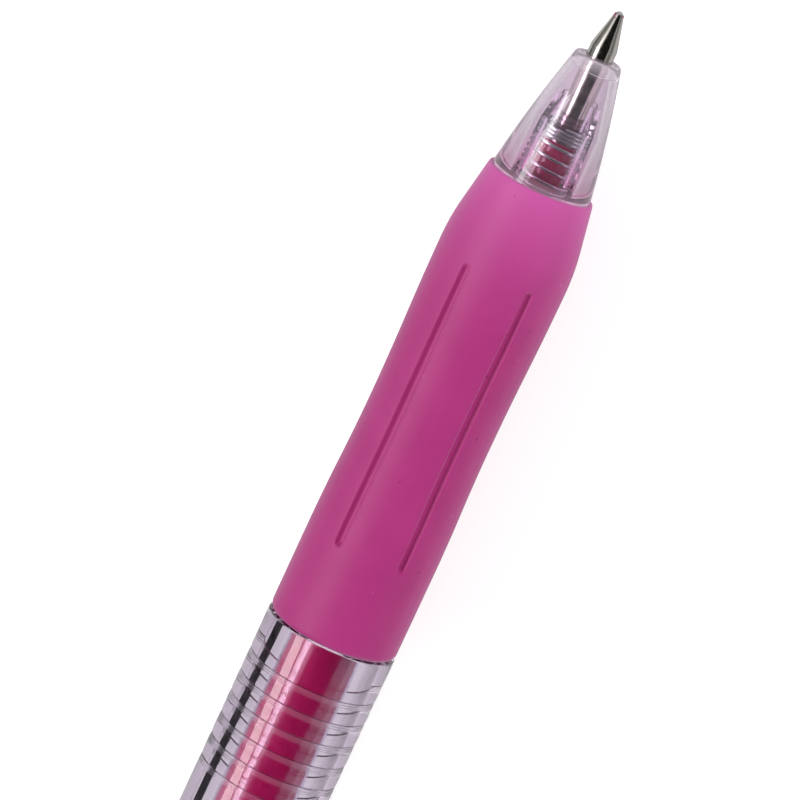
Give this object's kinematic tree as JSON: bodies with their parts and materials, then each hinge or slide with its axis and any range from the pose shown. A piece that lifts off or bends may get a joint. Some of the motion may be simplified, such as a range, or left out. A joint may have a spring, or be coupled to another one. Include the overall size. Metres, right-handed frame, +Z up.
{
  "type": "retractable gel pen",
  "caption": "Retractable gel pen with a metal ball point, tinted nose, soft fluted grip, clear ringed barrel, sprung clip and push button; the point is out.",
  "frame": {"origin": "middle of the footprint, on the table that the pen lies on", "axes": "+X along the pen from its writing point to its push button, +Z up from the table, +Y towards the side that the clip lies on"},
  "size_m": [0.142, 0.0147, 0.0114],
  "materials": {
    "carbide": "polished tungsten carbide",
    "point_metal": "polished nickel silver",
    "spring_steel": "bright drawn wire",
    "clear_plastic": "clear, polished",
    "nose_plastic": "clear, tinted pink-lilac",
    "tube_plastic": "translucent, satin",
    "white_plastic": "satin",
    "pink_plastic": "gloss",
    "deep_plastic": "gloss",
    "grip_rubber": "soft matt",
    "ink": "wet",
    "grease": "wet"
  },
  "bodies": {
    "casing": {"nose_cone": "nose_plastic", "grip_sleeve": "grip_rubber", "barrel": "clear_plastic", "clip_housing": "pink_plastic", "cam_sleeve": "white_plastic", "clip_pin": "spring_steel", "return_spring": "spring_steel", "clip_spring": "spring_steel"},
    "refill": {"tip_point": "point_metal", "tip_holder": "clear_plastic", "ink_tube": "tube_plastic", "ink_column": "ink", "ink_follower": "grease", "refill_tail_plug": "white_plastic"},
    "ball": {"writing_ball": "carbide"},
    "rotor": {"cam_rotor": "white_plastic"},
    "knob": {"cam_plunger": "white_plastic", "push_button": "pink_plastic", "button_insert": "deep_plastic"},
    "clip": {"clip_lever": "pink_plastic"}
  },
  "joints": [
    {"name": "knob_slide", "type": "slide", "parent": "casing", "child": "knob", "axis": [-1, 0, 0], "range_m": [-0.005, 0.0012], "stiffness_N_per_m": 60},
    {"name": "refill_slide", "type": "slide", "parent": "casing", "child": "refill", "axis": [-1, 0, 0], "range_m": [-0.005, 0.0012], "deforming": ["return_spring"]},
    {"name": "rotor_spin", "type": "hinge", "parent": "refill", "child": "rotor", "pos_m": [0.0442, -0.00172, 0.0057], "axis": [-1, 0, 0], "range_deg": [-14.41, 60.01]},
    {"name": "ball_spin", "type": "hinge", "parent": "refill", "child": "ball", "pos_m": [-0.07065, -0.00172, 0.0057], "axis": [0, 1, 0], "continuous": true},
    {"name": "clip_hinge", "type": "hinge", "parent": "casing", "child": "clip", "pos_m": [0.052, 0.00482, 0.0027], "axis": [0, -0.4166, -0.9091], "range_deg": [0, 12], "stiffness_Nm_per_rad": 0.04, "springref_deg": -11.46, "deforming": ["clip_spring"]}
  ],
  "couplings": [
    {"joint": "refill_slide", "follows": "knob_slide", "ratio": 1},
    {"joint": "rotor_spin", "follows": "knob_slide", "rad_per_m": -209.44}
  ]
}
